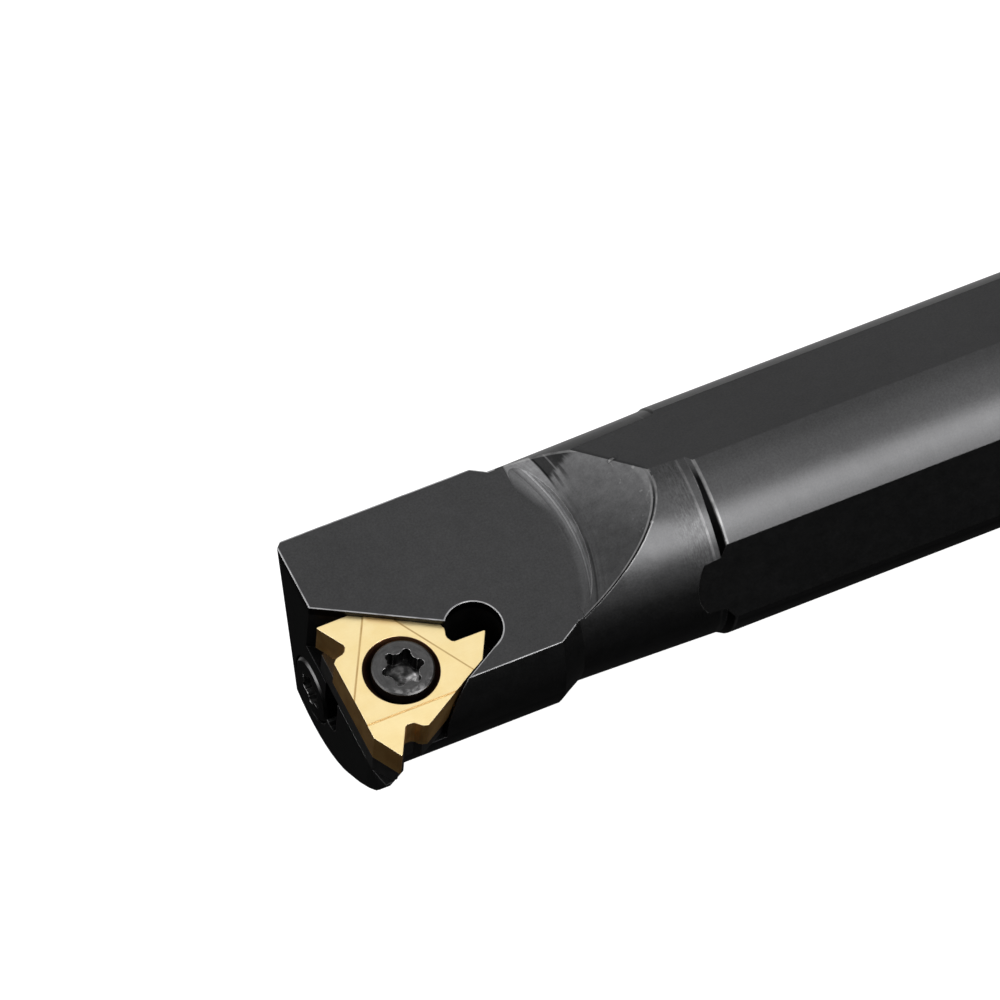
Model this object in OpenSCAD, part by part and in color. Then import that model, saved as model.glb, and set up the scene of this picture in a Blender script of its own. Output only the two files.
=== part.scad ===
// Internal threading boring bar: one turned and milled steel bar with an
// inclined pocket at its front end, a three-tooth laydown insert, the shim
// under it, the screw that clamps both and a second screw in the front face.
//
// Frame: X runs along the bar, the front face is at X = -overall_l and the
// rear face at X = 0. +Z is the normal of the shank's top flat, and the
// cutting tooth points towards -Y. Millimetres.
//
// Most of the head is laid out in the pocket frame, which is rolled about X
// by pocket_roll: x along the bar from the front face, v across it (the
// cutting side is -v) and b along the insert's normal.

/* [Shank] */
// Overall length, front face to rear face
overall_l = 180; // [120:5:250]
// Shank diameter
shank_d = 20; // [19.9:0.1:20.5]
// Height over the top and the bottom flat
flats_h = 18.5; // [18.2:0.1:18.8]
// Distance of the side flat from the axis
side_flat_y = 9.2; // [9.1:0.05:9.4]
// Centre of the rounded front end of the side flat, from the front face
side_flat_x = 34.7; // [34:0.1:40]
// Radius of the rounded front end of the side flat
side_flat_r = 4.2; // [4.1:0.1:5]
// Chamfer of the rear end
rear_chamfer = 1; // [0.5:0.1:2]

/* [Neck] */
// Neck diameter just behind the head
neck_front_d = 18.9; // [18.7:0.05:19.1]
// Neck diameter just before the shank
neck_rear_d = 19.5; // [19.4:0.05:19.6]
// Offset of the neck's axis away from the cutting side, behind the head
neck_shift_front = 0.29; // [0.2:0.01:0.32]
// Offset of the neck's axis away from the cutting side, at the shank
neck_shift_rear = 0.16; // [0.1:0.01:0.2]
// Start of the small chamfer up to the shank, from the front face
step_x = 32.55; // [31.8:0.05:32.8]
// Length of that chamfer
step_l = 1.1; // [1:0.1:1.6]

/* [Head] */
// Head diameter
head_d = 20.72; // [20.5:0.02:20.9]
// Length of the head's cylinder
head_l = 17.8; // [17.4:0.1:18.2]
// Roll of the pocket and of the head's flat about the bar's axis
pocket_roll = 21.7; // [20:0.1:23]
// Height of the head's flat above the axis, in the pocket frame
flat_b = 5.05; // [4.95:0.01:5.15]
// Radius of the arc that ends the head's flat
arc_r = 18.3; // [17:0.1:20]
// Corner radius between that flat and the arc's wall
arc_corner = 1.6; // [1.4:0.02:1.8]
// Furthest point of the arc, from the front face
arc_x = 23.33; // [22.8:0.01:23.6]
// Slope of the ramp behind the arc
ramp_angle = 26; // [25:0.5:27]
// Height of the ramp at the arc
ramp_b = 6.43; // [6.35:0.01:6.5]
// Width of the plane bevel's flat land: distance of its trace from the axis
bevel_d = 6.39; // [6.3:0.05:7]
// Slope of the bevel at the back of the front end
bevel_angle = 43; // [40:1:48]

/* [Pocket] */
// Insert centre behind the front face
seat_x = 4.60; // [4.5:0.01:4.76]
// Insert centre out from the axis towards the cutting side
seat_a = 5.88; // [5.8:0.01:6]
// Height of the pocket's floor, in the pocket frame
floor_b = -1.07; // [-1.2:0.01:-0.95]
// Clearance between the insert's back side and the long wall
wall1_gap = 0.03; // [0.02:0.01:0.06]
// Clearance between the insert's rear side and the short wall
wall2_gap = 0.24; // [0.1:0.01:0.3]
// Radius of the relief hole in the pocket's corner
relief_r = 2.45; // [2.4:0.01:2.5]
// Relief hole behind the front face
relief_x = 11.68; // [11.6:0.01:11.8]
// Relief hole out from the axis
relief_a = 4.80; // [4.75:0.01:4.9]

/* [Insert] */
// Inscribed circle of the insert's triangle
ic = 9.525; // [9.5:0.005:9.54]
// Insert thickness
insert_t = 3.2; // [3.1:0.02:3.3]
// Tooth centre line behind the insert's front side
tooth_y = 1.43; // [1.35:0.01:1.5]
// Reach of the tooth's tip from the insert's centre
tooth_reach = 7.25; // [7.15:0.01:7.35]
// Half of the thread angle
half_angle = 30; // [29:0.5:31]
// Width of the tip's flat
tip_w = 0.12; // [0.06:0.01:0.2]
// Relief of the tooth's flanks
flank_relief = 10; // [6:1:12]
// Distance of each ground land's edge from the centre
land_d = 3.6; // [3.5:0.01:3.7]
// Drop of the land at its edge
land_step = 0.07; // [0.04:0.01:0.1]
// Rim diameter of the insert's countersunk hole
rim_d = 6.52; // [6.4:0.02:6.6]
// Straight bore of the insert and the shim
bore_d = 4.4; // [4.3:0.05:4.5]

/* [Shim] */
// Shim thickness
shim_t = 2.45; // [2.35:0.01:2.55]
// Inset of the shim's outline from the insert's
shim_inset = 0.28; // [0.2:0.02:0.34]

/* [Screws] */
// Insert screw thread diameter
screw_d = 3.5; // [3.3:0.1:3.5]
// Insert screw head diameter
head_screw_d = 5.3; // [5.2:0.02:5.4]
// Height of the insert screw's head over the insert
head_rise = 0.36; // [0.2:0.02:0.5]
// Shift of the insert screw behind the centre of the insert's hole
screw_shift = 0.15; // [0.05:0.01:0.2]
// Insert screw length under the insert's top
screw_l = 10.5; // [9:0.5:11]
// Front screw head diameter
front_head_d = 5.8; // [5.6:0.1:6]
// Front screw thread diameter
front_screw_d = 3.5; // [3:0.1:3.6]
// Front screw centre from the axis, away from the cutting side
front_v = 0.8; // [0.7:0.05:0.9]
// Front screw centre below the axis, in the pocket frame
front_b = -5.9; // [-6:0.05:-5.8]

/* [Hidden] */
$fn = 96;
big = 40;
half_ic = ic / 2;
insert_bot = floor_b + shim_t;
insert_top = insert_bot + insert_t;
seat_v = -seat_a;
wall1 = half_ic + wall1_gap;
wall2 = half_ic + wall2_gap;
// the three teeth are one shape, turned by a third each
function turn(p, t) = [p[0]*cos(t) - p[1]*sin(t), p[0]*sin(t) + p[1]*cos(t)];
// one tooth and its gullet as [x, out], centred on the insert
tip_x = -half_ic + tooth_y;
gullet = 4.93;
flank_dx = (tooth_reach - gullet) * tan(half_angle);
tooth = [
    [-half_ic, tooth_reach - (tooth_y - tip_w/2) / tan(half_angle)],
    [tip_x - tip_w/2, tooth_reach],
    [tip_x + tip_w/2, tooth_reach],
    [tip_x + tip_w/2 + flank_dx, gullet],
    [tip_x + tip_w/2 + flank_dx + 0.22, gullet - 0.13],
    [-1.28, 4.82],
    [-1.02, 4.95],
    [-0.70, 5.30],
    [-0.50, 5.45],
    [-0.10, (half_ic + 0.05) / sin(60)]
];
// outline in [x, v] (v = -out), counterclockwise
insert_outline = [for (k = [0:2]) for (p = tooth) turn([p[0], -p[1]], 120*k)];
// the shim follows the cutting corner only and is cut off at the other two
si = shim_inset;
shim_corner = [
    [-half_ic + si*0.5, tooth_reach - tooth_y/tan(half_angle) - si*0.3],
    [tip_x - 0.1, tooth_reach - 0.88],
    [tip_x + 0.25, tooth_reach - 0.88],
    [tip_x + flank_dx + si, gullet - 0.25],
    [-0.9, gullet - 0.25],
    [-0.35, (half_ic - si) / sin(60)]
];
function side_pt(t, s) = [cos(t)*(half_ic - si) - sin(t)*s, sin(t)*(half_ic - si) + cos(t)*s];
shim_outline = [for (p = [
        shim_corner[0], shim_corner[1], shim_corner[2], shim_corner[3],
        shim_corner[4], shim_corner[5],
        side_pt(60, -5.6), side_pt(-60, 5.6),
        side_pt(-60, -5.6), side_pt(180, 5.6)
    ]) [p[0], -p[1]]];
// head's front nose under the cutting tooth, as [v, b]
nose_profile = [[-5.5, -8.79], [-6.5, -8.06], [-8.7, -6.2], [-10.4, -4.45],
    [-11.6, -2.95], [-12.2, -1.85], [-12.4, floor_b], [-5.5, floor_b]];
// and its plan as [x, v]
nose_plan = [[0, -4], [0, -12.6], [1.75, -12.6], [2.05, -12.2], [3.35, -9.9],
    [3.5, -4]];

module in_bar() { translate([-overall_l, 0, 0]) children(); }
module in_pocket() { in_bar() rotate([pocket_roll, 0, 0]) children(); }
// a cylinder or cone along X
module rod(x0, x1, r0, r1) { translate([x0, 0, 0]) rotate([0, 90, 0]) cylinder(h = x1 - x0, r1 = r0, r2 = r1, $fn = 128); }

// six-lobed drive recess, depth below the plane z = 0
module star_recess(a_d, depth, lobe_angle) {
    ro = a_d/2;
    rotate([0, 0, lobe_angle]) translate([0, 0, -depth]) difference() {
        union() {
            cylinder(h = depth + 1, r = ro*0.80, $fn = 48);
            // conical bottom
            translate([0, 0, -ro*0.22]) cylinder(h = ro*0.22 + 0.01, r1 = 0, r2 = ro*0.66, $fn = 48);
            for (k = [0:5]) rotate([0, 0, 60*k])
                translate([ro*0.79, 0, 0]) cylinder(h = depth + 1, r = ro*0.21, $fn = 32);
        }
        for (k = [0:5]) rotate([0, 0, 60*k + 30])
            translate([ro*1.03, 0, -0.5]) cylinder(h = depth + 2, r = ro*0.29, $fn = 32);
    }
}

module blank() {
    l = overall_l;
    in_bar() {
        rod(0, head_l, head_d/2, head_d/2);
        rod(head_l, head_l + 2.3, head_d/2, head_d/2 - 1.21);
        // neck, slightly conical, its axis set away from the cutting side
        rotate([pocket_roll, 0, 0])
            translate([head_l + 0.6, neck_shift_front, 0])
            rotate([0, 0, -atan((neck_shift_front - neck_shift_rear) / (step_x - head_l - 0.6))])
            rod(0, step_x + step_l - head_l - 0.6, neck_front_d/2 - 0.03, neck_rear_d/2);
        rod(step_x, step_x + step_l, shank_d/2 - 0.62, shank_d/2);
        rod(step_x + step_l, l - rear_chamfer, shank_d/2, shank_d/2);
        rod(l - rear_chamfer, l, shank_d/2, shank_d/2 - rear_chamfer);
        rotate([pocket_roll, 0, 0]) nose();
    }
}

module nose() {
    intersection() {
        rotate([90, 0, 90]) linear_extrude(height = 3.6) polygon(nose_profile);
        translate([0, 0, -12]) linear_extrude(height = 12 + floor_b) polygon(nose_plan);
        // facet across the nose's front corner
        translate([0, -10.05, -0.82]) rotate([0, 24.4, 12.9])
            translate([0, -20, -20]) cube([20, 40, 40]);
        // clearance facet behind the tooth
        rotate([0, 107.44, -61.62]) translate([-20, -20, -28.78]) cube([40, 40, 40]);
    }
}

module head_flat_cut() {
    // the flat, then the arc with its corner radius
    translate([-5, -big/2, flat_b]) cube([arc_x - arc_r + 5, big, 20]);
    translate([arc_x - arc_r, 0.35, flat_b]) rotate_extrude($fn = 160) union() {
        translate([0, arc_corner]) square([arc_r, 20]);
        square([arc_r - arc_corner, 20]);
        translate([arc_r - arc_corner, arc_corner]) circle(r = arc_corner, $fn = 64);
    }
}

module ramp_cut() {
    translate([arc_x, 0, ramp_b]) rotate([0, -ramp_angle, 0])
        translate([-3.15, -15, 0]) cube([20, 30, 10]);
}

module pocket_cut() {
    // long wall, relief hole, short wall
    c1 = [seat_x + wall1*cos(60), seat_v + wall1*sin(60)];
    c2 = [seat_x + wall2*cos(60), seat_v - wall2*sin(60)];
    translate([0, 0, floor_b]) linear_extrude(height = 20) polygon([
        c1 + 10*[-cos(30), sin(30)],
        c1 + 3.05*[cos(30), -sin(30)],
        [relief_x, -relief_a],
        [relief_x + relief_r*cos(60), -relief_a - relief_r*sin(60)],
        c2 + 16*[-cos(30), -sin(30)],
        [-6, -16], [-6, 2]
    ]);
    translate([relief_x, -relief_a, floor_b - 0.3]) cylinder(h = 20, r = relief_r, $fn = 64);
}

module bevel_cut() {
    rotate([-19.4, 0, 0]) translate([0, bevel_d, 0]) rotate([0, 0, bevel_angle])
        translate([-12, 0, -25]) cube([30, 15, 50]);
}

module notch_cut() {
    // open slot in the front face, from the pocket's floor down
    translate([-1, -3.9, -5.0]) cube([2.5, 2.3, 8]);
    translate([-1, -2.75, -5.0]) rotate([0, 90, 0]) cylinder(h = 2.5, r = 1.15, $fn = 48);
}

module bar() {
    color([0.13, 0.13, 0.135]) difference() {
        blank();
        in_pocket() {
            head_flat_cut();
            ramp_cut();
            pocket_cut();
            bevel_cut();
            notch_cut();
            // threaded hole of the insert screw
            translate([seat_x + screw_shift, seat_v, insert_top - screw_l - 0.8])
                cylinder(h = 20, r = screw_d/2 + 0.05, $fn = 48);
            // seat and hole of the front screw
            translate([-1, front_v, front_b]) rotate([0, 90, 0]) {
                cylinder(h = 3.3, r = front_head_d/2 + 0.15, $fn = 64);
                cylinder(h = 12, r = front_screw_d/2 + 0.05, $fn = 48);
            }
        }
        in_bar() {
            // top and bottom flats
            translate([head_l - 1, -12, flats_h/2]) cube([overall_l, 24, 5]);
            translate([side_flat_x - 1.5, -12, -flats_h/2 - 5]) cube([overall_l, 24, 5]);
            // side flat with its rounded front end
            translate([side_flat_x, -side_flat_y - 5, -side_flat_r]) cube([overall_l, 5, 2*side_flat_r]);
            translate([side_flat_x, -side_flat_y, 0]) rotate([90, 0, 0]) cylinder(h = 5, r = side_flat_r, $fn = 96);
        }
    }
}

module shim() {
    color([0.36, 0.37, 0.39]) in_pocket() translate([seat_x, seat_v, floor_b]) difference() {
        linear_extrude(height = shim_t) polygon(shim_outline);
        translate([0, 0, -1]) cylinder(h = shim_t + 2, r = bore_d/2, $fn = 64);
    }
}

// clearance ground on both flanks of one tooth
module flank_relief_cut() {
    // front flank
    translate([tip_x - tip_w/2, -tooth_reach, insert_t])
        rotate([0, 0, 90 + half_angle]) rotate([flank_relief, 0, 0])
        translate([-1, 0, -8]) cube([4.4, 3, 8.6]);
    // rear flank
    translate([tip_x + tip_w/2, -tooth_reach, insert_t])
        rotate([0, 0, 90 - half_angle]) rotate([-flank_relief, 0, 0])
        translate([-1, -0.85, -8]) cube([3.5, 0.85, 8.6]);
    // tip
    translate([tip_x, -tooth_reach, insert_t]) rotate([-flank_relief, 0, 0])
        translate([-1, -2, -8]) cube([2, 2, 8.6]);
}

module insert() {
    color([0.93, 0.76, 0.42]) in_pocket() translate([seat_x, seat_v, insert_bot]) difference() {
        linear_extrude(height = insert_t) polygon(insert_outline);
        for (k = [0:2]) rotate([0, 0, 120*k]) {
            flank_relief_cut();
            // ground land outside a line beside the hole
            translate([-8, -land_d, insert_t - land_step]) rotate([1.2, 0, 0])
                translate([0, -8, 0]) cube([16, 8, 2]);
        }
        translate([0, 0, -1]) cylinder(h = insert_t + 2, r = bore_d/2, $fn = 64);
        translate([0, 0, insert_t - 1.9]) cylinder(h = 1.9, r1 = bore_d/2, r2 = rim_d/2, $fn = 64);
        translate([0, 0, insert_t]) cylinder(h = 1, r = rim_d/2, $fn = 64);
    }
}

// solid of revolution about Z from one [r, z] outline
module revolved(p) { rotate_extrude($fn = 96) polygon(p); }

module insert_screw() {
    // head height follows from the countersink that it sits in
    hs = (rim_d - bore_d)/2/1.9;
    hr = head_screw_d/2;
    sr = screw_d/2;
    drop = (rim_d/2 - screw_shift - hr)/hs - 0.02;
    cone_h = (hr - sr)/hs;
    color([0.22, 0.22, 0.23]) in_pocket()
    translate([seat_x + screw_shift, seat_v, insert_top]) difference() {
        revolved([[0, -screw_l], [sr - 0.4, -screw_l], [sr, -screw_l + 0.4],
            [sr, -drop - cone_h], [hr, -drop], [hr, head_rise - 0.1],
            [hr - 0.14, head_rise], [0, head_rise]]);
        translate([0, 0, head_rise]) star_recess(3.65, 1.75, 55.2);
    }
}

module shim_screw() {
    hr = front_head_d/2;
    sr = front_screw_d/2;
    color([0.22, 0.22, 0.23]) in_pocket()
    translate([-0.12, front_v, front_b]) rotate([0, -90, 0]) difference() {
        // the head stands a little proud of the front face
        revolved([[0, -10.4], [sr - 0.4, -10.4], [sr, -10], [sr, -2.42], [hr, -2.42],
            [hr, -0.26], [hr - 0.26, 0], [0, 0]]);
        star_recess(3.3, 1.3, 10);
    }
}

bar();
shim();
insert();
insert_screw();
shim_screw();
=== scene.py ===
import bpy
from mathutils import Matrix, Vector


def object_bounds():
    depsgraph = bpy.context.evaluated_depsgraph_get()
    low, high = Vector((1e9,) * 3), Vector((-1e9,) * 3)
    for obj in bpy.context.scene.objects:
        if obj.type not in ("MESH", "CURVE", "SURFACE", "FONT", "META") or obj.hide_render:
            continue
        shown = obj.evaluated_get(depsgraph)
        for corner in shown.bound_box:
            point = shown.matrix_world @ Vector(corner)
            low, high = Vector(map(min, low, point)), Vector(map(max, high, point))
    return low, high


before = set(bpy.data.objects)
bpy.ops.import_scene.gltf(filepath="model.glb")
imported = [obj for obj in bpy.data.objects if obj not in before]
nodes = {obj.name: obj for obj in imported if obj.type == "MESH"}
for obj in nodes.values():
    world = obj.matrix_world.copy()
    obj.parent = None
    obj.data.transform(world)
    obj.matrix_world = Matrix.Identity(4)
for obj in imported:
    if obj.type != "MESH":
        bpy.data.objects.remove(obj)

import math

import bpy
from mathutils import Matrix, Vector

cad_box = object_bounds()
scene = bpy.context.scene

# ---------------------------------------------------------------- camera
# telephoto view from the cutting end, above the cutting side, with some roll
right = Vector((0.90235889, -0.41610362, -0.11227743))
down = Vector((-0.34463246, -0.5402119, -0.76772363))
back = Vector((-0.25879897, -0.73145668, 0.63086782))
cam_data = bpy.data.cameras.new("camera")
cam_data.sensor_width = 36.0
cam_data.lens = 531.905
cam_data.clip_start = 0.05
cam_data.clip_end = 50.0
camera = bpy.data.objects.new("camera", cam_data)
scene.collection.objects.link(camera)
rot = Matrix((right, -down, back)).transposed().to_4x4()
camera.matrix_world = Matrix.Translation((-0.477821, -0.892065, 0.778756)) @ rot
scene.camera = camera
scene.view_settings.view_transform = "Standard"

# pocket frame: x along the bar, v across it, b along the insert's normal
ROLL = math.radians(21.7)
AXIS_V = Vector((0.0, math.cos(ROLL), math.sin(ROLL)))
AXIS_B = Vector((0.0, -math.sin(ROLL), math.cos(ROLL)))
FRONT = -0.180


def place(x, v, b):
    """World point of a pocket-frame point given in millimetres."""
    return Vector((FRONT + x * 0.001, 0, 0)) + AXIS_V * (v * 0.001) + AXIS_B * (b * 0.001)


# ---------------------------------------------------------------- node helpers
class Graph:
    """Small helper around one material's node tree."""

    def __init__(self, name):
        self.mat = bpy.data.materials.new(name)
        self.mat.use_nodes = True
        self.tree = self.mat.node_tree
        self.tree.nodes.clear()
        self.out = self.new("ShaderNodeOutputMaterial")

    def new(self, kind, **props):
        n = self.tree.nodes.new(kind)
        for k, v in props.items():
            setattr(n, k, v)
        return n

    def link(self, a, b):
        self.tree.links.new(a, b)

    def put(self, sock, value):
        if hasattr(value, "is_linked") or hasattr(value, "links"):
            self.link(value, sock)
        else:
            sock.default_value = value

    def math(self, op, a, b=0.0, c=None, clamp=False):
        n = self.new("ShaderNodeMath", operation=op, use_clamp=clamp)
        self.put(n.inputs[0], a)
        self.put(n.inputs[1], b)
        if c is not None:
            self.put(n.inputs[2], c)
        return n.outputs[0]

    def vmath(self, op, a, b=(0, 0, 0)):
        n = self.new("ShaderNodeVectorMath", operation=op)
        self.put(n.inputs[0], a)
        self.put(n.inputs[1], b)
        return n.outputs["Value"] if op in ("DOT_PRODUCT", "DISTANCE", "LENGTH") else n.outputs[0]

    def ramp(self, value, lo, hi, out_lo=0.0, out_hi=1.0, smooth=True):
        n = self.new("ShaderNodeMapRange")
        n.interpolation_type = "SMOOTHSTEP" if smooth else "LINEAR"
        self.put(n.inputs["Value"], value)
        n.inputs["From Min"].default_value = lo
        n.inputs["From Max"].default_value = hi
        n.inputs["To Min"].default_value = out_lo
        n.inputs["To Max"].default_value = out_hi
        return n.outputs[0]

    def mix(self, fac, a, b, blend="MIX"):
        n = self.new("ShaderNodeMix", data_type="RGBA", blend_type=blend)
        self.put(n.inputs[0], fac)
        self.put(n.inputs[6], a)
        self.put(n.inputs[7], b)
        return n.outputs[2]

    def noise(self, vec, scale, detail=3.0, rough=0.55):
        n = self.new("ShaderNodeTexNoise")
        self.put(n.inputs["Vector"], vec)
        n.inputs["Scale"].default_value = scale
        n.inputs["Detail"].default_value = detail
        n.inputs["Roughness"].default_value = rough
        return n.outputs["Fac"]

    def scaled(self, vec, s):
        return self.vmath("MULTIPLY", vec, s)

    def coords(self):
        """Position in millimetres in the row frame."""
        t = self.new("ShaderNodeTexCoord")
        return self.vmath("MULTIPLY", t.outputs["Object"], (1000.0, 1000.0, 1000.0))

    def normal(self):
        g = self.new("ShaderNodeNewGeometry")
        return g.outputs["Normal"], g.outputs["True Normal"]

    def edges(self, radius, lo, hi):
        """(rounded normal, mask of outward edges)."""
        bev = self.new("ShaderNodeBevel", samples=5)
        bev.inputs["Radius"].default_value = radius
        _, true = self.normal()
        d = self.vmath("DOT_PRODUCT", bev.outputs[0], true)
        bend = self.ramp(d, hi, lo)
        ao = self.new("ShaderNodeAmbientOcclusion", samples=3)
        ao.inputs["Distance"].default_value = radius * 3
        open_ = self.ramp(ao.outputs["AO"], 0.72, 0.95)
        return bev.outputs[0], self.math("MULTIPLY", bend, open_)

    def bump(self, height, strength, distance, normal=None):
        n = self.new("ShaderNodeBump")
        n.inputs["Strength"].default_value = strength
        n.inputs["Distance"].default_value = distance
        self.put(n.inputs["Height"], height)
        if normal is not None:
            self.link(normal, n.inputs["Normal"])
        return n.outputs[0]

    def shader(self, color, rough, metallic, normal=None, coat=0.0, coat_rough=0.2, specular=0.5, tint=None):
        p = self.new("ShaderNodeBsdfPrincipled")
        self.put(p.inputs["Base Color"], color)
        self.put(p.inputs["Roughness"], rough)
        self.put(p.inputs["Metallic"], metallic)
        p.inputs["Specular IOR Level"].default_value = specular
        p.inputs["Coat Weight"].default_value = coat
        p.inputs["Coat Roughness"].default_value = coat_rough
        if normal is not None:
            self.link(normal, p.inputs["Normal"])
        self.link(p.outputs[0], self.out.inputs["Surface"])
        return p


def grey(g, value):
    """Grey colour from a value socket."""
    n = g.new("ShaderNodeCombineColor")
    for i in range(3):
        g.put(n.inputs[i], value)
    return n.outputs[0]


def frame_point(g, x, v, b=0.0):
    """Vector socket from three value sockets."""
    n = g.new("ShaderNodeCombineXYZ")
    g.put(n.inputs[0], x)
    g.put(n.inputs[1], v)
    g.put(n.inputs[2], b)
    return n.outputs[0]


def assign(obj, mat):
    obj.data.materials.clear()
    obj.data.materials.append(mat)


# ---------------------------------------------------------------- black oxide steel
RAMP_N = Vector((-math.sin(math.radians(26)), 0, 0)) + AXIS_B * math.cos(math.radians(26))
RAMP_P = place(23.33, 0, 6.43)


def black_steel():
    g = Graph("black_oxide_steel")
    p = g.coords()
    smooth_n, true_n = g.normal()
    sep = g.new("ShaderNodeSeparateXYZ")
    g.link(p, sep.inputs[0])
    x = g.math("ADD", sep.outputs[0], 180.0)
    v = g.vmath("DOT_PRODUCT", p, tuple(AXIS_V))
    b = g.vmath("DOT_PRODUCT", p, tuple(AXIS_B))

    # zones by the direction that the face looks in
    up_b = g.vmath("DOT_PRODUCT", true_n, tuple(AXIS_B))
    head_flat = g.ramp(up_b, 0.9993, 0.9998)
    up_z = g.vmath("DOT_PRODUCT", true_n, (0, 0, 1))
    shank_flat = g.ramp(up_z, 0.9993, 0.9998)
    ramp_zone = g.ramp(g.vmath("DOT_PRODUCT", true_n, tuple(RAMP_N)), 0.9990, 0.9997)
    side_y = g.ramp(g.vmath("DOT_PRODUCT", true_n, (0, -1, 0)), 0.9993, 0.9998)
    side_flat = g.math("MULTIPLY", side_y, g.ramp(x, 29.0, 30.0))
    flat_any = g.math("MAXIMUM", g.math("MAXIMUM", head_flat, shank_flat), g.math("MAXIMUM", ramp_zone, side_flat))
    turned = g.math("SUBTRACT", 1.0, flat_any, clamp=True)

    # distances that place the fine lines: from the scoop's arc, from its ramp, from
    # the neck's surface and from the shank's flat
    arc = g.vmath("LENGTH", g.vmath("MULTIPLY", g.vmath("SUBTRACT", frame_point(g, x, v), (5.03, 0.35, 0.0)), (1, 1, 0)))
    over_ramp = g.vmath("DOT_PRODUCT", g.vmath("SUBTRACT", p, tuple(RAMP_P * 1000)), tuple(RAMP_N))
    shift = g.math("SUBTRACT", 0.459, g.math("MULTIPLY", x, 0.00919))
    neck_v = g.math("SUBTRACT", v, shift)
    neck_r = g.vmath("LENGTH", frame_point(g, neck_v, b))
    radius = g.vmath("LENGTH", frame_point(g, v, b))

    # colour variation: broad cloud, middle mottle, fine grain
    cloud = g.noise(p, 0.06, 2.0)
    mottle = g.noise(p, 0.9, 3.0, 0.6)
    grain = g.noise(p, 5.5, 2.0, 0.7)
    lines = g.noise(g.scaled(p, (7.0, 0.25, 0.25)), 1.0, 3.0, 0.65)

    m = g.math("ADD", 1.0, g.math("MULTIPLY", g.math("SUBTRACT", cloud, 0.5), 0.25))
    m = g.math("MULTIPLY", m, g.math("ADD", 1.0, g.math("MULTIPLY", g.math("SUBTRACT", grain, 0.5), 0.60)))
    m_amt = g.math("ADD", 0.24, g.math("MULTIPLY", ramp_zone, 0.60))
    m = g.math("MULTIPLY", m, g.math("ADD", 1.0, g.math("MULTIPLY", g.math("SUBTRACT", mottle, 0.5), m_amt)))
    l_amt = g.math("MULTIPLY", turned, 0.16)
    m = g.math("MULTIPLY", m, g.math("ADD", 1.0, g.math("MULTIPLY", g.math("SUBTRACT", lines, 0.5), l_amt)))

    # painted light: the ramp's colour is paler towards its far side and its upper end
    slope = g.math("ADD", g.math("MULTIPLY", g.math("ADD", v, 1.05), 0.15), g.math("MULTIPLY", g.math("SUBTRACT", x, 26.68), 0.16))
    slope = g.math("SMOOTH_MAX", g.math("ADD", 1.16, slope), 0.76, 0.3)
    painted_ramp_light = g.math("MULTIPLY", ramp_zone, g.math("SUBTRACT", slope, 1.0))
    base = g.math("MULTIPLY", 0.052, g.math("ADD", 1.0, painted_ramp_light))
    value = g.math("MULTIPLY", base, m)

    # painted highlight: the scoop's curved wall is drawn paler up to its rim, more where it faces further up
    in_arc = g.math("MULTIPLY", g.ramp(arc, 16.5, 17.0), g.ramp(arc, 18.60, 18.45))
    in_arc = g.math("MULTIPLY", in_arc, g.math("MULTIPLY", g.ramp(up_b, 0.9995, 0.985), g.ramp(b, 5.03, 5.07)))
    in_arc = g.math("MULTIPLY", in_arc, g.ramp(b, 6.9, 6.6))
    in_arc = g.math("MULTIPLY", in_arc, g.ramp(over_ramp, 0.10, -0.05))
    inside = g.math("SUBTRACT", g.math("ADD", 9.022, g.math("MULTIPLY", x, 0.02164)), neck_r)
    in_arc = g.math("MULTIPLY", in_arc, g.ramp(inside, 0.01, 0.06))
    painted_wall_light = g.math("ADD", g.ramp(up_b, 0.78, 0.28, 0.0, 5.0), g.math("MULTIPLY", g.ramp(up_b, 0.82, 0.62, 0.0, 0.6), g.ramp(v, -2.5, 0.5)))
    painted_wall_light = g.math("MULTIPLY", g.math("MULTIPLY", in_arc, painted_wall_light), g.ramp(v, -7.0, -6.4, 0.25, 1.0))
    # towards the far side the painted highlight band is broader and reaches onto the flat
    far_s = g.math("ADD", g.math("MULTIPLY", g.math("SUBTRACT", x, 21.97), 0.913), g.math("MULTIPLY", g.math("SUBTRACT", v, 2.55), 0.407))
    painted_far_light = g.math("MULTIPLY", g.math("MULTIPLY", g.ramp(far_s, -0.05, 0.80, smooth=False), g.ramp(v, 1.6, 4.4)), g.ramp(over_ramp, 0.05, -0.05))
    painted_far_light = g.math("MULTIPLY", painted_far_light, g.math("MULTIPLY", g.ramp(up_b, 0.78, 0.965, 0.0, 1.5), g.math("MULTIPLY", g.ramp(b, 5.00, 5.04), g.ramp(b, 7.0, 6.7))))
    ridge = g.math("ADD", 18.32, g.math("MULTIPLY", g.math("MAXIMUM", g.math("SUBTRACT", v, 2.6), 0.0), 0.115))
    past = g.math("SUBTRACT", arc, ridge)
    painted_far_light = g.math("MAXIMUM", painted_far_light, g.math("MULTIPLY", g.math("MULTIPLY", ramp_zone, g.ramp(past, 0.05, -0.03)), g.ramp(v, 2.6, 4.0, 0.0, 0.75)))
    value = g.math("MULTIPLY", value, g.math("ADD", 1.0, g.math("MAXIMUM", painted_wall_light, painted_far_light)))
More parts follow.
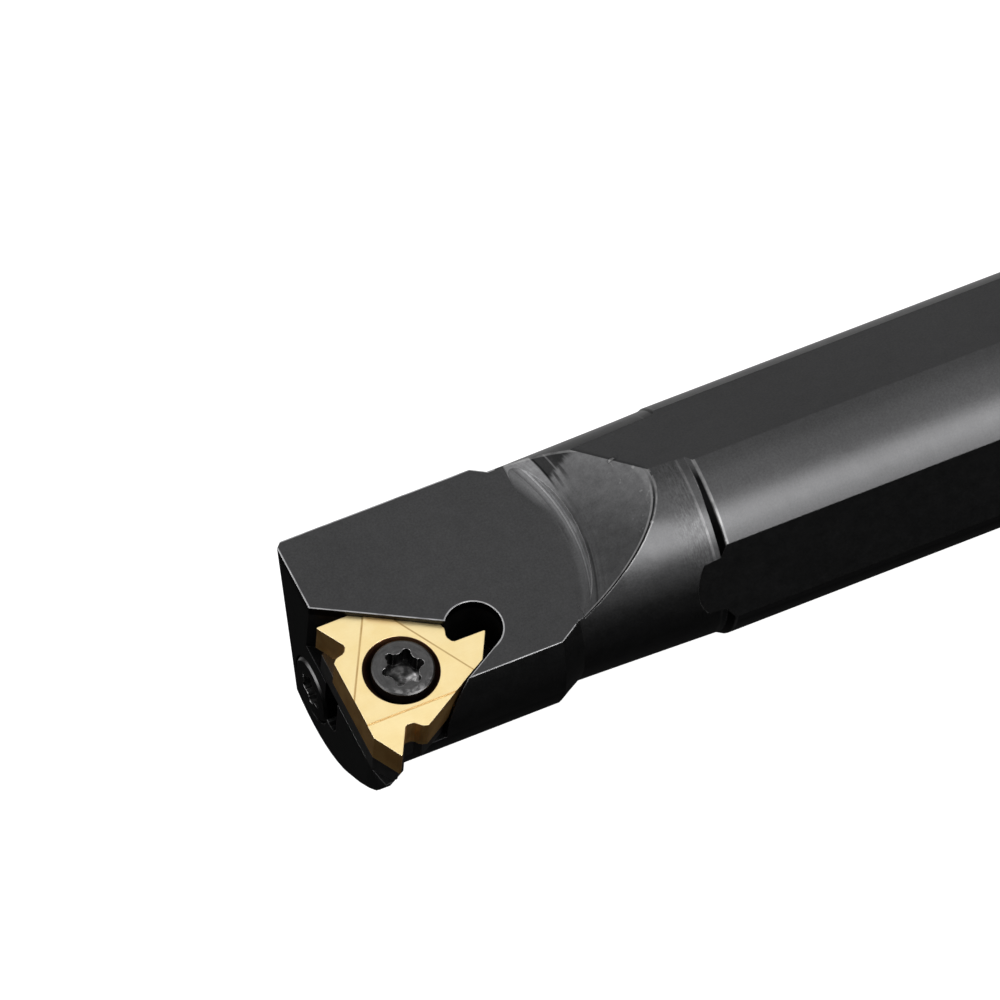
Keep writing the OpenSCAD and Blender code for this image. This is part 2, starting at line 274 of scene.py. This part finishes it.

    # fine arcs behind the rim, and painted shadow: a dark wedge at its far end
    behind = g.math("SUBTRACT", arc, 18.35)
    streak = g.noise(g.scaled(frame_point(g, arc, g.math("MULTIPLY", v, 0.12)), (5.0, 1.0, 1.0)), 1.0, 2.0, 0.6)
    near_rim = g.math("MULTIPLY", g.ramp(behind, 1.6, 0.2), ramp_zone)
    value = g.math("MULTIPLY", value, g.math("ADD", 1.0, g.math("MULTIPLY", near_rim, g.math("MULTIPLY", g.math("SUBTRACT", streak, 0.42), 0.9))))
    fine = g.noise(frame_point(g, g.math("MULTIPLY", arc, 5.5), g.math("MULTIPLY", v, 0.25)), 1.0, 1.0, 0.5)
    w_edge = g.math("SUBTRACT", g.math("SUBTRACT", v, 5.2), g.math("MULTIPLY", g.math("SUBTRACT", arc, 19.6), 0.45))
    w_edge = g.math("ADD", w_edge, g.math("MULTIPLY", g.math("SUBTRACT", fine, 0.5), 0.7))
    painted_shadow_wedge = g.math("MULTIPLY", g.ramp(w_edge, -0.30, 0.45), g.ramp(past, 0.02, 0.12))
    for centre, half, reach in ((0.62, 0.17, 4.4), (1.22, 0.20, 5.0)):
        tail = g.ramp(g.math("ABSOLUTE", g.math("SUBTRACT", past, centre)), half, half * 0.3)
        painted_shadow_wedge = g.math("MAXIMUM", painted_shadow_wedge, g.math("MULTIPLY", tail, g.ramp(v, reach - 1.6, reach + 0.6, 0.0, 0.85)))
    bright = g.ramp(g.math("ABSOLUTE", g.math("SUBTRACT", past, 0.92)), 0.09, 0.02)
    painted_shadow_wedge = g.math("MULTIPLY", painted_shadow_wedge, g.math("SUBTRACT", 1.0, g.math("MULTIPLY", bright, 0.55)))
    painted_shadow_wedge = g.math("MULTIPLY", painted_shadow_wedge, ramp_zone)
    value = g.math("MULTIPLY", value, g.math("SUBTRACT", 1.0, g.math("MULTIPLY", painted_shadow_wedge, 0.82)))
    # painted shade: a dark line in the crease right behind the rim
    painted_crease_shade = g.math("MULTIPLY", g.math("MULTIPLY", g.ramp(past, 0.00, 0.05), g.ramp(past, 0.22, 0.14)), ramp_zone)
    value = g.math("MULTIPLY", value, g.math("SUBTRACT", 1.0, g.math("MULTIPLY", painted_crease_shade, g.math("MAXIMUM", g.ramp(v, 3.2, 5.6, 0.18, 0.70), g.ramp(v, -1.0, -2.6, 0.18, 0.45)))))

    # painted highlight and painted shade along the scoop's outline: a pale line on the neck, a dark one on the ramp
    # and a second pale one inside it
    low_side = g.ramp(v, 0.8, -2.0)
    painted_dark_line = g.math("MULTIPLY", g.math("MULTIPLY", g.ramp(inside, 0.02, 0.05), g.ramp(inside, 0.13, 0.10)), ramp_zone)
    value = g.math("MULTIPLY", value, g.math("SUBTRACT", 1.0, g.math("MULTIPLY", painted_dark_line, g.ramp(v, 1.0, -2.0, 0.25, 0.80))))
    painted_glints = g.math("MULTIPLY", g.math("MULTIPLY", g.ramp(inside, 0.11, 0.14), g.ramp(inside, 0.23, 0.19)), ramp_zone)
    upper = g.math("MULTIPLY", g.math("MULTIPLY", g.ramp(inside, 0.42, 0.24), ramp_zone), g.math("SUBTRACT", 1.0, low_side))
    painted_glints = g.math("MAXIMUM", g.math("MULTIPLY", painted_glints, low_side), g.math("MULTIPLY", upper, 0.45))
    on_neck = g.math("MULTIPLY", g.math("MULTIPLY", turned, g.ramp(over_ramp, -0.085, -0.03)), g.math("MULTIPLY", g.ramp(x, 21.5, 21.9), g.ramp(x, 30.6, 30.2)))
    on_neck = g.math("MULTIPLY", on_neck, g.ramp(b, 5.2, 5.4))
    glint_amt = g.ramp(g.noise(p, 1.1, 2.0), 0.30, 0.60, 0.45, 1.0)
    painted_glints = g.math("MULTIPLY", g.math("MAXIMUM", painted_glints, on_neck), g.ramp(v, 2.8, 1.6))
    far_rim = g.math("MULTIPLY", g.math("MULTIPLY", g.ramp(inside, 0.20, 0.12), ramp_zone), g.ramp(v, 4.2, 5.0))
    painted_glints = g.math("MULTIPLY", g.math("MAXIMUM", painted_glints, far_rim), glint_amt)

    # rim of the head's flat, along the pocket, the relief hole and the outside, drawn paler: partly rubbed wear,
    # partly painted highlight
    seat_dx = g.math("MULTIPLY", g.math("SUBTRACT", x, 4.60), 0.5)
    seat_dv = g.math("MULTIPLY", g.math("ADD", v, 5.88), 0.866)
    to_long = g.math("SUBTRACT", g.math("ADD", seat_dx, seat_dv), 4.7925)
    to_short = g.math("SUBTRACT", g.math("SUBTRACT", seat_dx, seat_dv), 5.0025)
    to_hole = g.math("SUBTRACT", g.vmath("LENGTH", g.vmath("MULTIPLY", g.vmath("SUBTRACT", frame_point(g, x, v), (11.68, -4.80, 0.0)), (1, 1, 0))), 2.45)
    skin = g.math("SUBTRACT", g.ramp(x, 17.8, 20.1, 10.36, 9.15, smooth=False), radius)
    to_skin = g.math("MULTIPLY", g.math("MAXIMUM", skin, inside), 1.5)
    to_rim = g.math("MINIMUM", g.math("MINIMUM", g.math("ABSOLUTE", to_hole), to_skin), x)
    to_rim = g.math("MINIMUM", to_rim, g.math("ADD", g.math("ABSOLUTE", to_long), g.ramp(x, 10.6, 11.0, 0.0, 5.0)))
    to_rim = g.math("MINIMUM", to_rim, g.math("ADD", g.math("ABSOLUTE", to_short), g.ramp(v, -6.80, -6.95, 5.0, 0.0)))
    rim_amt = g.ramp(g.noise(p, 0.7, 2.0), 0.30, 0.60, 0.55, 1.0)
    on_top = g.math("MULTIPLY", g.math("MULTIPLY", head_flat, g.ramp(b, 5.00, 5.03)), g.ramp(b, 5.10, 5.07))
    rim_wear_and_glint = g.math("MULTIPLY", g.math("MULTIPLY", on_top, g.ramp(to_rim, 0.145, 0.085)), rim_amt)

    # nicks drawn as pale flecks (painted glints) and a darker line where the ramp runs out into the top flat
    near_cut = g.math("MULTIPLY", g.math("MULTIPLY", shank_flat, g.ramp(x, 30.2, 29.6)), g.ramp(over_ramp, -0.22, -0.04))
    value = g.math("MULTIPLY", value, g.math("SUBTRACT", 1.0, g.math("MULTIPLY", near_cut, 0.35)))
    fleck = g.ramp(g.noise(p, 2.4, 2.0, 0.5), 0.64, 0.76)
    cut_zone = g.math("MULTIPLY", g.math("MAXIMUM", shank_flat, ramp_zone), g.ramp(g.math("ABSOLUTE", over_ramp), 0.30, 0.10))
    cut_zone = g.math("MULTIPLY", cut_zone, g.math("MULTIPLY", g.ramp(b, 8.2, 8.5), g.ramp(inside, 0.05, 0.12)))
    painted_glints = g.math("MAXIMUM", painted_glints, g.math("MULTIPLY", g.math("MULTIPLY", fleck, cut_zone), 0.5))
    # painted shading of a small burr on the run-out (dark ring, pale centre) and painted glints on three small dents
    here = frame_point(g, x, v, b)
    curl = g.vmath("LENGTH", g.vmath("MULTIPLY", g.vmath("SUBTRACT", here, (27.95, 3.35, 8.66)), (1.0, 2.2, 1.0)))
    curl = g.math("ADD", curl, g.math("MULTIPLY", g.math("SUBTRACT", g.noise(p, 4.0, 2.0), 0.5), 0.9))
    value = g.math("MULTIPLY", value, g.math("SUBTRACT", 1.0, g.math("MULTIPLY", g.math("MULTIPLY", g.ramp(curl, 0.62, 0.45), g.ramp(curl, 0.25, 0.35)), 0.35)))
    spots = g.ramp(curl, 0.30, 0.16)
    for glint_spot in ((29.09, 1.64, 9.24), (22.58, -3.94, 6.06), (28.35, -3.57, 8.88)):
        spots = g.math("MAXIMUM", spots, g.ramp(g.vmath("DISTANCE", here, glint_spot), 0.18, 0.09))
    painted_glints = g.math("MAXIMUM", painted_glints, spots)

    # step between neck and shank: painted shadow band below, painted light lines above, painted highlight on the rim
    # and the foot
    facing = g.math("ABSOLUTE", g.vmath("DOT_PRODUCT", true_n, (1, 0, 0)))
    cone = g.math("MULTIPLY", g.math("MULTIPLY", g.ramp(facing, 0.30, 0.40), g.ramp(facing, 0.70, 0.60)), g.math("MULTIPLY", g.ramp(x, 32.3, 32.5), g.ramp(x, 33.9, 33.7)))
    start = g.ramp(sep.outputs[2], 8.6, 5.6, 33.20, 32.98)
    into = g.math("SUBTRACT", x, start)
    painted_step_shadow = g.math("MULTIPLY", cone, g.math("MULTIPLY", g.ramp(into, 0.0, 0.06), g.ramp(x, 33.66, 33.60)))
    painted_step_sheen = g.math("MULTIPLY", cone, g.ramp(into, 0.02, -0.04))
    value = g.math("MULTIPLY", value, g.math("SUBTRACT", 1.0, g.math("MULTIPLY", painted_step_shadow, g.ramp(sep.outputs[2], 9.1, 8.3, 0.15, 0.93))))
    value = g.math("MULTIPLY", value, g.math("ADD", 1.0, g.math("MULTIPLY", g.math("MULTIPLY", painted_step_sheen, g.ramp(sep.outputs[2], 9.0, 8.2)), g.ramp(g.noise(p, 3.0, 2.0), 0.35, 0.65, 0.2, 1.9))))
    step_rim_glint = g.math("MULTIPLY", g.math("MULTIPLY", g.ramp(x, 33.50, 33.62), g.ramp(x, 33.90, 33.80)), turned)
    step_foot_glint = g.math("MULTIPLY", g.math("MULTIPLY", g.ramp(x, 32.30, 32.42), g.ramp(x, 32.60, 32.52)), turned)
    painted_glints = g.math("MAXIMUM", painted_glints, g.math("MULTIPLY", g.math("MAXIMUM", step_rim_glint, g.math("MULTIPLY", step_foot_glint, 0.5)), glint_amt))

    # short turning streaks on the neck's end
    neck_end = g.math("MULTIPLY", g.math("MULTIPLY", g.ramp(x, 28.6, 31.8), g.ramp(x, 32.7, 32.5)), turned)
    short = g.noise(g.scaled(frame_point(g, x, v, b), (7.5, 1.8, 1.8)), 1.0, 2.0, 0.6)
    value = g.math("MULTIPLY", value, g.math("ADD", 1.0, g.math("MULTIPLY", neck_end, g.math("MULTIPLY", g.math("SUBTRACT", short, 0.48), 1.3))))

    # painted shade: the pocket walls, the seat floor, the front face, the side flat and the head's near side are drawn
    # darker; the shank's top flat is a little darker too
    painted_pocket_shade = g.math("MULTIPLY", g.math("MULTIPLY", g.ramp(radius, 10.30, 10.20), g.ramp(g.math("ABSOLUTE", up_b), 0.10, 0.03)), g.math("MULTIPLY", g.ramp(x, 14.6, 14.4), g.ramp(b, 3.9, 4.2)))
    value = g.math("MULTIPLY", value, g.math("SUBTRACT", 1.0, g.math("MULTIPLY", painted_pocket_shade, 0.80)))
    seat_floor = g.math("MULTIPLY", g.ramp(up_b, 0.98, 0.995), g.ramp(b, -0.8, -0.9))
    front = g.math("MULTIPLY", g.ramp(g.vmath("DOT_PRODUCT", true_n, (-1, 0, 0)), 0.98, 0.995), g.ramp(x, 0.5, 0.3))
    value = g.math("MULTIPLY", value, g.math("SUBTRACT", 1.0, g.math("MULTIPLY", seat_floor, g.ramp(v, -9.6, -10.0, 0.75, 0.30))))
    value = g.math("MULTIPLY", value, g.math("SUBTRACT", 1.0, g.math("MULTIPLY", front, 0.48)))
    value = g.math("MULTIPLY", value, g.math("SUBTRACT", 1.0, g.math("MULTIPLY", side_flat, 0.40)))
    value = g.math("MULTIPLY", value, g.math("SUBTRACT", 1.0, g.math("MULTIPLY", shank_flat, 0.06)))
    # painted shade on the head's near side below its flat
    painted_head_shade = g.math("MULTIPLY", g.math("MULTIPLY", turned, g.ramp(x, 18.0, 17.6)), g.math("MULTIPLY", g.ramp(b, 1.5, 4.8), g.ramp(v, -6.0, -8.0)))
    value = g.math("MULTIPLY", value, g.math("SUBTRACT", 1.0, g.math("MULTIPLY", painted_head_shade, 0.35)))

    # pits that break up the shine of the turned surface
    vor = g.new("ShaderNodeTexVoronoi")
    vor.inputs["Scale"].default_value = 2.6
    g.link(p, vor.inputs["Vector"])
    pit = g.ramp(vor.outputs["Distance"], 0.10, 0.02)
    patch = g.ramp(g.noise(p, 0.22, 2.0), 0.52, 0.66)
    pit = g.math("MULTIPLY", g.math("MULTIPLY", pit, patch), turned)
    value = g.math("MULTIPLY", value, g.math("SUBTRACT", 1.0, g.math("MULTIPLY", pit, 0.6)))

    # edges drawn brighter: partly rubbed wear, partly painted highlight; the painted glints join them, and the nose
    # below the seat is darker
    round_n, worn_edge_glint = g.edges(0.00010, 0.62, 0.985)
    worn_edge_glint = g.math("MULTIPLY", worn_edge_glint, g.ramp(g.noise(p, 0.8, 3.0), 0.30, 0.62, 0.50, 1.0))
    worn_edge_glint = g.math("MULTIPLY", worn_edge_glint, g.math("SUBTRACT", 1.0, g.math("MULTIPLY", painted_pocket_shade, 0.8)))
    low = g.math("MULTIPLY", g.ramp(b, 4.9, 4.6), g.ramp(x, 18.2, 17.7))
    ledge = g.math("MULTIPLY", g.math("MULTIPLY", g.ramp(x, 1.0, 0.8), g.ramp(v, -3.6, -4.4)), g.math("MULTIPLY", g.ramp(b, -1.5, -1.3), g.ramp(v, -10.6, -9.8)))
    worn_edge_glint = g.math("MULTIPLY", worn_edge_glint, g.math("SUBTRACT", 1.0, g.math("MULTIPLY", low, g.math("SUBTRACT", 0.80, g.math("MULTIPLY", ledge, 1.60)))))
    nose = g.math("MULTIPLY", g.ramp(v, -9.6, -10.0), g.ramp(b, -0.9, -1.1))
    worn_edge_glint = g.math("MULTIPLY", worn_edge_glint, g.math("SUBTRACT", 1.0, g.math("MULTIPLY", nose, 0.75)))
    value = g.math("MULTIPLY", value, g.math("SUBTRACT", 1.0, g.math("MULTIPLY", nose, 0.45)))
    worn_edge_glint = g.math("MAXIMUM", worn_edge_glint, g.math("MULTIPLY", painted_glints, 0.42))
    value = g.math("ADD", value, g.math("MULTIPLY", worn_edge_glint, 0.24))
    value = g.math("ADD", value, g.math("MULTIPLY", rim_wear_and_glint, 0.34))
    tint = g.mix(worn_edge_glint, (1.0, 1.0, 1.02, 1), (1.0, 0.99, 0.97, 1))
    color = g.mix(1.0, grey(g, value), tint, "MULTIPLY")

    rough = g.math("ADD", 0.35, g.math("MULTIPLY", g.math("SUBTRACT", mottle, 0.5), 0.12))
    rough = g.math("ADD", rough, g.math("MULTIPLY", flat_any, 0.06))
    rough = g.math("ADD", rough, g.math("MULTIPLY", g.math("SUBTRACT", grain, 0.5), 0.10))
    rough = g.math("ADD", rough, g.math("MULTIPLY", worn_edge_glint, 0.12), clamp=True)

    height = g.math("ADD", g.math("MULTIPLY", grain, 0.5), g.math("MULTIPLY", g.math("MULTIPLY", lines, turned), 0.5))
    height = g.math("ADD", height, g.math("MULTIPLY", g.math("MULTIPLY", mottle, ramp_zone), 2.2))
    height = g.math("SUBTRACT", height, g.math("MULTIPLY", pit, 1.5))
    n = g.bump(height, 0.35, 0.000012, round_n)
    g.shader(color, rough, 1.0, n)
    return g.mat


# ---------------------------------------------------------------- coated insert
def gold_coat():
    g = Graph("coated_carbide")
    p = g.coords()
    _, true_n = g.normal()
    up = g.vmath("DOT_PRODUCT", true_n, tuple(AXIS_B))
    top = g.ramp(up, 0.9, 0.98)
    cloud = g.noise(p, 0.5, 3.0, 0.6)
    grain = g.noise(p, 9.0, 2.0, 0.6)
    ground = g.noise(g.scaled(p, (1.2, 9.0, 9.0)), 1.0, 2.0, 0.6)
    # painted shade: the sides take a darker, browner copy of the gold than the top
    c_top = g.mix(g.ramp(cloud, 0.3, 0.7), (0.92, 0.722, 0.35, 1), (0.945, 0.765, 0.41, 1))
    shaded_side_gold = g.mix(g.ramp(cloud, 0.3, 0.7), (0.92, 0.49, 0.14, 1), (1.0, 0.60, 0.21, 1))
    c = g.mix(top, shaded_side_gold, c_top)
    c = g.mix(g.math("MULTIPLY", g.ramp(ground, 0.35, 0.75), 0.10), c, (0.80, 0.58, 0.25, 1))
    c = g.mix(g.math("MULTIPLY", g.ramp(grain, 0.40, 0.75), 0.10), c, (1.0, 0.88, 0.58, 1))
    # three ground lines beside the hole
    v = g.math("ADD", g.vmath("DOT_PRODUCT", p, tuple(AXIS_V)), 5.88)
    sep = g.new("ShaderNodeSeparateXYZ")
    g.link(p, sep.inputs[0])
    x = g.math("ADD", sep.outputs[0], 175.40)
    d = g.math("MULTIPLY", v, -1.0)
    for sx in (0.866, -0.866):
        d = g.math("MAXIMUM", d, g.math("ADD", g.math("MULTIPLY", x, sx), g.math("MULTIPLY", v, 0.5)))
    off = g.math("SUBTRACT", d, 3.60)
    land = g.math("MULTIPLY", g.math("MULTIPLY", g.ramp(off, -0.10, -0.05), g.ramp(off, 0.13, 0.06)), g.ramp(g.vmath("DOT_PRODUCT", p, tuple(AXIS_B)), 4.40, 4.45))
    c = g.mix(g.math("MULTIPLY", g.math("MULTIPLY", g.ramp(d, 3.58, 3.62), top), 0.10), c, (1.0, 0.88, 0.52, 1))
    # painted shade: the coating is drawn browner on the land beside the pocket's long wall
    wall_d = g.math("SUBTRACT", 4.7625, g.math("ADD", g.math("MULTIPLY", x, 0.5), g.math("MULTIPLY", v, 0.866)))
    painted_wall_shade = g.math("MULTIPLY", g.math("MULTIPLY", g.ramp(wall_d, 0.75, 0.05), g.ramp(x, -0.9, -0.4)), g.math("MULTIPLY", g.ramp(x, 3.2, 0.8), top))
    c = g.mix(g.math("MULTIPLY", painted_wall_shade, 0.6), c, (0.62, 0.34, 0.10, 1))
    # painted shade: the walls of the hole are drawn dark
    painted_hole_shade = g.math("MULTIPLY", g.ramp(g.vmath("LENGTH", frame_point(g, x, v)), 3.32, 3.28), g.ramp(up, 0.95, 0.90))
    c = g.mix(g.math("MULTIPLY", painted_hole_shade, g.ramp(v, 1.6, 2.6, 0.90, 0.85)), c, (0.28, 0.125, 0.09, 1))
    round_n, worn_edge_glint = g.edges(0.00007, 0.60, 0.985)
    worn_edge_glint = g.math("MULTIPLY", worn_edge_glint, g.math("SUBTRACT", 1.0, g.math("MAXIMUM", land, g.math("MULTIPLY", painted_hole_shade, 0.9))))
    # edges drawn paler: partly worn coating, partly painted highlight
    c = g.mix(g.math("MULTIPLY", worn_edge_glint, 0.75), c, (1.0, 0.94, 0.78, 1))
    c = g.mix(g.math("MULTIPLY", land, g.ramp(cloud, 0.3, 0.7, 0.50, 0.75)), c, (0.46, 0.25, 0.07, 1))
    c = g.mix(g.math("MULTIPLY", g.math("MULTIPLY", land, g.ramp(up, 0.97, 0.90)), 0.9), c, (0.14, 0.085, 0.028, 1))
    rough = g.math("ADD", 0.34, g.math("MULTIPLY", g.math("SUBTRACT", cloud, 0.5), 0.12))
    rough = g.math("ADD", rough, g.math("MULTIPLY", g.math("SUBTRACT", grain, 0.5), 0.10))
    n = g.bump(g.math("ADD", grain, ground), 0.25, 0.000006, round_n)
    g.shader(c, rough, 1.0, n)
    return g.mat


# ---------------------------------------------------------------- screws and shim
def plain_steel(name, level, spread, edge_gain, rough0, screw=False, front=False, sides=False):
    g = Graph(name)
    p = g.coords()
    _, true_n = g.normal()
    mottle = g.noise(p, 1.6, 3.0, 0.6)
    grain = g.noise(p, 8.0, 2.0, 0.7)
    v = g.math("ADD", 1.0, g.math("MULTIPLY", g.math("SUBTRACT", mottle, 0.5), spread))
    v = g.math("MULTIPLY", v, g.math("ADD", 1.0, g.math("MULTIPLY", g.math("SUBTRACT", grain, 0.5), spread * 0.6)))
    value = g.math("MULTIPLY", level, v)
    if screw:
        # turned rings on the head, a recess painted dark as shade and a paler bottom in it
        sep = g.new("ShaderNodeSeparateXYZ")
        g.link(p, sep.inputs[0])
        x = g.math("ADD", sep.outputs[0], 175.25)
        y = g.math("ADD", g.vmath("DOT_PRODUCT", p, tuple(AXIS_V)), 5.88)
        r = g.vmath("LENGTH", frame_point(g, x, y))
        b = g.vmath("DOT_PRODUCT", p, tuple(AXIS_B))
        up = g.vmath("DOT_PRODUCT", true_n, tuple(AXIS_B))
        rings = g.noise(frame_point(g, g.math("MULTIPLY", r, 5.0), g.math("MULTIPLY", x, 0.8), g.math("MULTIPLY", y, 0.8)), 1.0, 2.0, 0.6)
        # a paler ring near the rim, brighter on the near side: partly polish, partly painted highlight
        ring_polish_glint = g.math("MULTIPLY", g.ramp(r, 1.95, 2.25), g.ramp(r, 2.55, 2.45))
        value = g.math("MULTIPLY", value, g.math("ADD", 1.0, g.math("MULTIPLY", g.math("SUBTRACT", rings, 0.45), 0.9)))
        blotch = g.ramp(g.noise(p, 2.2, 3.0, 0.6), 0.44, 0.62, -0.25, 2.2)
        ring_polish_glint = g.math("MULTIPLY", ring_polish_glint, g.math("ADD", g.math("MULTIPLY", blotch, g.ramp(y, -1.0, -2.0)), 0.25))
        value = g.math("MULTIPLY", value, g.math("ADD", 1.0, g.math("MULTIPLY", ring_polish_glint, g.ramp(y, 0.5, -1.8, 0.10, 0.75))))
        deep = g.math("MULTIPLY", g.ramp(r, 1.90, 1.80), g.ramp(b, 4.90, 4.82))
        painted_recess_shade = g.math("MULTIPLY", deep, g.ramp(up, 0.5, 0.3))
        bottom = g.math("MULTIPLY", deep, g.ramp(up, 0.3, 0.5))
        value = g.math("MULTIPLY", value, g.math("SUBTRACT", 1.0, g.math("MULTIPLY", painted_recess_shade, 0.90)))
        # painted shade on the head's side
        painted_side_shade = g.math("MULTIPLY", g.ramp(r, 2.50, 2.56), g.ramp(up, 0.3, 0.1))
        value = g.math("MULTIPLY", value, g.math("SUBTRACT", 1.0, g.math("MULTIPLY", painted_side_shade, 0.45)))
        # painted glints on the recess bottom, stronger on the near side
        glint_spot = g.math("MULTIPLY", g.ramp(y, 0.25, -0.25, -0.6, 9.0), g.ramp(g.noise(p, 3.0, 2.0), 0.35, 0.62, 0.25, 1.0))
        value = g.math("MULTIPLY", value, g.math("ADD", 1.0, g.math("MULTIPLY", bottom, glint_spot)))
    if sides:
        # the ground sides are paler than the seat
        value = g.math("MULTIPLY", value, g.ramp(g.vmath("DOT_PRODUCT", true_n, tuple(AXIS_B)), 0.5, 0.9, 2.6, 1.0))
    if front:
        # painted shade and highlight: the face is drawn dark, its rim and its recess pale, all paler towards the upper
        # side
        ahead = g.vmath("DOT_PRODUCT", true_n, (-1, 0, 0))
        at_v = g.vmath("DOT_PRODUCT", p, tuple(AXIS_V))
        painted_upper_light = g.ramp(at_v, -1.2, 1.0, 0.12, 1.0)
        value = g.math("MULTIPLY", value, g.ramp(ahead, 0.80, 0.95, 1.7, 0.25))
        value = g.math("MULTIPLY", value, painted_upper_light)
    round_n, worn_edge_glint = g.edges(0.00009 if (screw or front) else 0.00007, 0.60, 0.985)
    if screw:
        worn_edge_glint = g.math("MULTIPLY", worn_edge_glint, g.ramp(r, 2.0, 2.3, 1.6, 0.7))
    if front:
        worn_edge_glint = g.math("MULTIPLY", worn_edge_glint, painted_upper_light)
    value = g.math("ADD", value, g.math("MULTIPLY", worn_edge_glint, edge_gain))
    color = g.mix(1.0, grey(g, value), (1.0, 0.985, 0.985, 1), "MULTIPLY")
    rough = g.math("ADD", rough0, g.math("MULTIPLY", g.math("SUBTRACT", mottle, 0.5), 0.2))
    n = g.bump(g.math("ADD", g.math("MULTIPLY", mottle, 1.5), g.math("MULTIPLY", grain, 0.6)), 0.4, 0.00001, round_n)
    g.shader(color, rough, 1.0, n)
    return g.mat


assign(nodes["bar"], black_steel())
assign(nodes["insert"], gold_coat())
assign(nodes["insert_screw"], plain_steel("screw_steel", 0.070, 0.7, 0.30, 0.34, screw=True))
assign(nodes["shim_screw"], plain_steel("front_screw_steel", 0.09, 0.5, 0.50, 0.34, front=True))
assign(nodes["shim"], plain_steel("shim_carbide", 0.030, 0.3, 0.04, 0.42, sides=True))

# ---------------------------------------------------------------- floor and backdrop
low = cad_box[0][2]


def stage_material(name, strength, shade):
    m = bpy.data.materials.new(name)
    m.use_nodes = True
    t = m.node_tree
    t.nodes.clear()
    out = t.nodes.new("ShaderNodeOutputMaterial")
    em = t.nodes.new("ShaderNodeEmission")
    em.inputs["Color"].default_value = (1, 1, 1, 1)
    em.inputs["Strength"].default_value = strength
    df = t.nodes.new("ShaderNodeBsdfDiffuse")
    df.inputs["Color"].default_value = (shade, shade, shade, 1)
    add = t.nodes.new("ShaderNodeAddShader")
    t.links.new(em.outputs[0], add.inputs[0])
    t.links.new(df.outputs[0], add.inputs[1])
    t.links.new(add.outputs[0], out.inputs["Surface"])
    return m


def only_camera(o):
    o.visible_diffuse = False
    o.visible_glossy = False
    o.visible_transmission = False
    o.visible_shadow = False


bpy.ops.mesh.primitive_circle_add(vertices=64, radius=6.0, fill_type="NGON", location=(-0.09, 0, low - 0.0001))
floor = bpy.context.object
floor.name = "floor"
floor.data.materials.append(stage_material("pale_floor", 0.93, 0.30))
bpy.ops.mesh.primitive_uv_sphere_add(segments=48, ring_count=24, radius=6.0, location=(-0.09, 0, low))
dome = bpy.context.object
dome.name = "backdrop"
dome.data.materials.append(stage_material("pale_backdrop", 1.0, 0.0))
for o in (floor, dome):
    only_camera(o)

# ---------------------------------------------------------------- light
world = bpy.data.worlds.new("studio")
world.use_nodes = True
world.node_tree.nodes["Background"].inputs[0].default_value = (1, 1, 1, 1)
world.node_tree.nodes["Background"].inputs[1].default_value = 0.018
scene.world = world

AIM = Vector((-0.150, 0.0, 0.0))


def softbox(name, direction, dist, size_x, size_y, radiance, up=(1, 0, 0), aim=AIM):
    """Rectangular area light that looks at the head. size_x runs along `up`."""
    d = Vector(direction).normalized()
    ld = bpy.data.lights.new(name, "AREA")
    ld.shape = "RECTANGLE"
    ld.size = size_x
    ld.size_y = size_y
    ld.energy = radiance * math.pi * size_x * size_y
    ob = bpy.data.objects.new(name, ld)
    u = Vector(up)
    u = (u - d * u.dot(d)).normalized()
    w = d.cross(u)
    ob.matrix_world = Matrix.Translation(aim + d * dist) @ Matrix((u, w, d)).transposed().to_4x4()
    scene.collection.objects.link(ob)
    ob.visible_camera = False
    return ob


# key beside the camera, with a weaker box above and one below it; wide overhead
# box; one behind for the shank's flat; one on the left for the scoop's wall; weak
# fill from under the front and from low behind; a small weak one at the rear face
softbox("key", (0.259, -0.860, 0.440), 0.9, 0.60, 0.45, 8.8)
softbox("over_key", (0.20, -0.45, 0.87), 0.9, 0.60, 0.42, 2.0)
softbox("under_key", (0.259, -0.95, -0.14), 0.9, 0.60, 0.34, 0.65)
softbox("top", (0.0, 0.20, 0.98), 0.9, 1.4, 1.0, 0.93)
softbox("behind", (0.259, 0.80, 0.50), 0.9, 1.2, 0.5, 0.78)
softbox("upper_left", (-0.58, 0.12, 0.80), 0.9, 0.90, 0.45, 0.75, up=(0, 1, 0))
softbox("left", (-0.86, -0.24, 0.42), 0.9, 0.50, 0.70, 4.0, up=(0, 0, 1))
softbox("left_back", (-0.80, 0.42, 0.44), 0.9, 0.50, 0.60, 1.5, up=(0, 0, 1))
softbox("fill_low", (0.259, -0.74, -0.63), 0.9, 0.8, 0.7, 0.04)
softbox("fill_back", (0.259, 0.91, -0.28), 0.9, 1.0, 0.45, 0.50)
softbox("rear", (0.96, 0.05, -0.28), 0.30, 0.32, 0.26, 0.55, up=(0, 1, 0), aim=Vector((0.0, 0.0, 0.0)))
